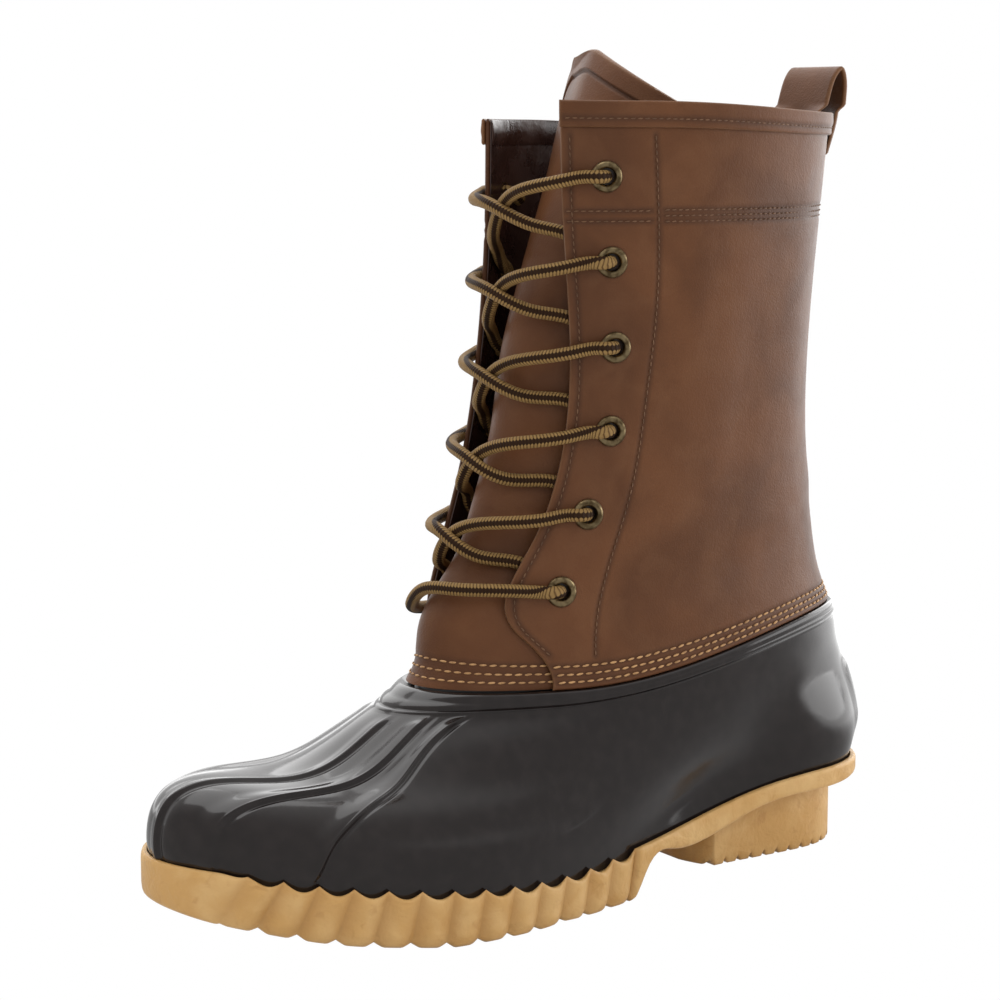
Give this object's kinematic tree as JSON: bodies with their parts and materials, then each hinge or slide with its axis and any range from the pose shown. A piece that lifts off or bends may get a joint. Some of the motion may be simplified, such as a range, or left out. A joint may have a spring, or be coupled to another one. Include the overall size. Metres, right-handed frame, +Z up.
{
  "type": "ankle boot",
  "caption": "Lace-up ankle boot with a leather shaft on a moulded rubber shell, a fluted gum outsole with a low heel, brass eyelets, a round lace and a back pull loop.",
  "frame": {"origin": "on the floor under the middle of the boot's bounding box", "axes": "-Y towards the toe, +X towards the outer (little-toe) side, +Z up"},
  "size_m": [0.0996, 0.2864, 0.2855],
  "materials": {
    "gum_rubber": "satin tan gum rubber",
    "gloss_rubber": "glossy near-black brown moulded rubber",
    "brown_leather": "smooth oiled brown leather with a soft sheen",
    "footbed": "dark matt footbed cloth",
    "antique_brass": "dull antique brass",
    "lace_cord": "round braided cord in tan and dark brown"
  },
  "bodies": {
    "root": {"outsole": "gum_rubber", "insole": "footbed", "shell": "gloss_rubber", "quarters": "brown_leather", "vamp_tongue": "brown_leather", "collar_band": "brown_leather", "pull_loop": "brown_leather", "eyelet_outer_1": "antique_brass", "eyelet_outer_2": "antique_brass", "eyelet_outer_3": "antique_brass", "eyelet_outer_4": "antique_brass", "eyelet_outer_5": "antique_brass", "eyelet_outer_6": "antique_brass", "eyelet_inner_1": "antique_brass", "eyelet_inner_2": "antique_brass", "eyelet_inner_3": "antique_brass", "eyelet_inner_4": "antique_brass", "eyelet_inner_5": "antique_brass", "eyelet_inner_6": "antique_brass", "lace_bar": "lace_cord", "lace_crossing_1": "lace_cord", "lace_crossing_2": "lace_cord", "lace_crossing_3": "lace_cord", "lace_crossing_4": "lace_cord", "lace_crossing_5": "lace_cord"}
  },
  "joints": []
}
